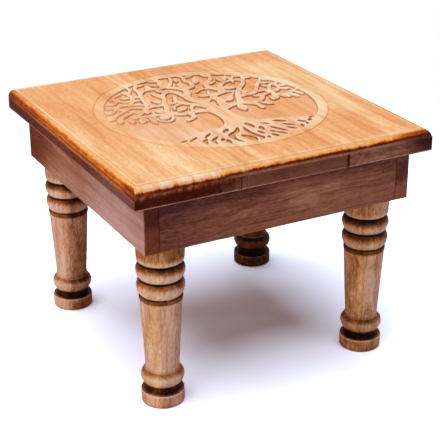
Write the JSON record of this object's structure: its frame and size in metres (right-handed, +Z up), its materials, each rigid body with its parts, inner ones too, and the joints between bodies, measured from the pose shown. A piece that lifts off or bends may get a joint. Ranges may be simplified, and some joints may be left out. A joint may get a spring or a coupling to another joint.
{
  "type": "bajot low table",
  "caption": "Low square wooden table: a carved tree of life in its top, a plain apron frame with corner blocks, and turned legs held by hanger bolts.",
  "frame": {"origin": "on the floor, under the middle of the table", "axes": "+Z up, +X to the right, -Y towards the front, where the roots of the carved tree lie"},
  "size_m": [0.3, 0.3, 0.23],
  "materials": {
    "top_wood": "satin",
    "apron_wood": "satin",
    "block_wood": "matte",
    "leg_wood": "satin",
    "steel": "zinc plated",
    "insert_metal": "plain"
  },
  "bodies": {
    "root": {"top_board_left": "top_wood", "top_board_middle": "top_wood", "top_board_right": "top_wood", "apron_front": "apron_wood", "apron_back": "apron_wood", "apron_left": "apron_wood", "apron_right": "apron_wood", "corner_block_front_left": "block_wood", "corner_block_front_right": "block_wood", "corner_block_back_left": "block_wood", "corner_block_back_right": "block_wood", "leg_front_left": "leg_wood", "leg_front_right": "leg_wood", "leg_back_left": "leg_wood", "leg_back_right": "leg_wood", "leg_bolts": "steel", "leg_inserts": "insert_metal", "block_screws": "steel", "top_screws": "steel"}
  },
  "joints": []
}
